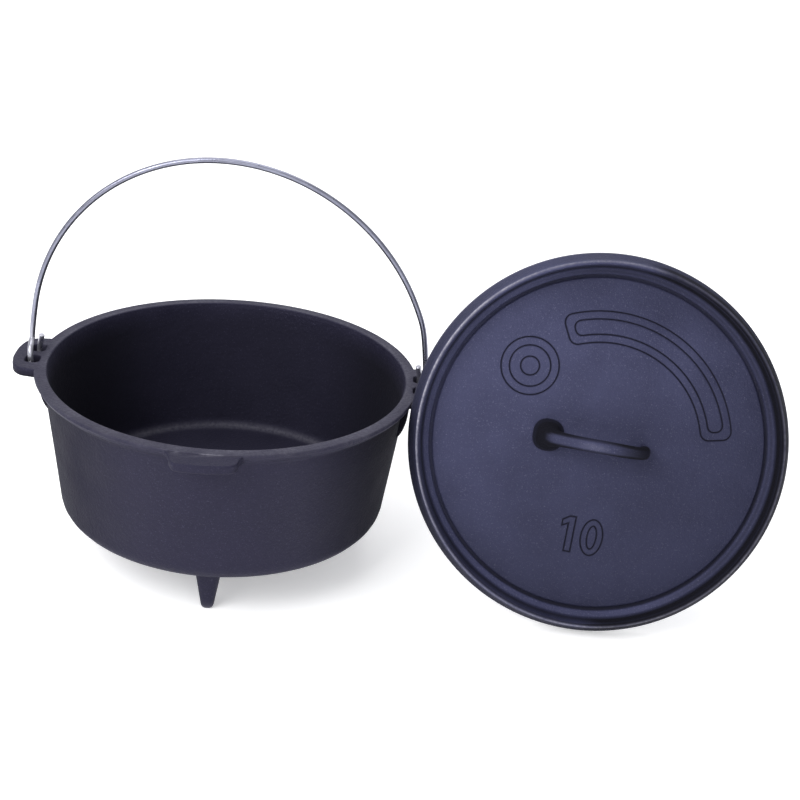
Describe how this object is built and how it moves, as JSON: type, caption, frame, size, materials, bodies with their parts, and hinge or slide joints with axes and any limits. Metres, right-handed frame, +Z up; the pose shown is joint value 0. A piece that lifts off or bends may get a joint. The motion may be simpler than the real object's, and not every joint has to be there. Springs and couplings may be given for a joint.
{
  "type": "dutch oven",
  "caption": "Cast iron camp dutch oven: a deep pot on short legs, a wire bail hooked through its ears, and a rimmed lid with a loop handle standing beside it.",
  "frame": {"origin": "centre of the pot's flat underside, between the legs", "axes": "+X through the pot's right ear, towards the lid; +Y to the back, away from the pouring tab; +Z up"},
  "size_m": [0.5453, 0.2852, 0.2929],
  "materials": {
    "pot_iron": "seasoned, fine pebbled grain, satin",
    "lid_iron": "seasoned, fine pebbled grain, satin, worn bright on the rim's edge",
    "bail_wire": "dull drawn wire, brighter at the hooks"
  },
  "bodies": {
    "pot": {"pot": "pot_iron"},
    "bail": {"bail": "bail_wire"},
    "lid": {"lid": "lid_iron"}
  },
  "joints": [
    {"name": "bail_swing", "type": "hinge", "parent": "pot", "child": "bail", "pos_m": [0, 0, 0.107], "axis": [-1, 0, 0], "range_deg": [-30, 80]},
    {"name": "lid_lift", "type": "slide", "parent": "pot", "child": "lid", "axis": [0, 0, 1], "range_m": [0, 0.3]}
  ]
}
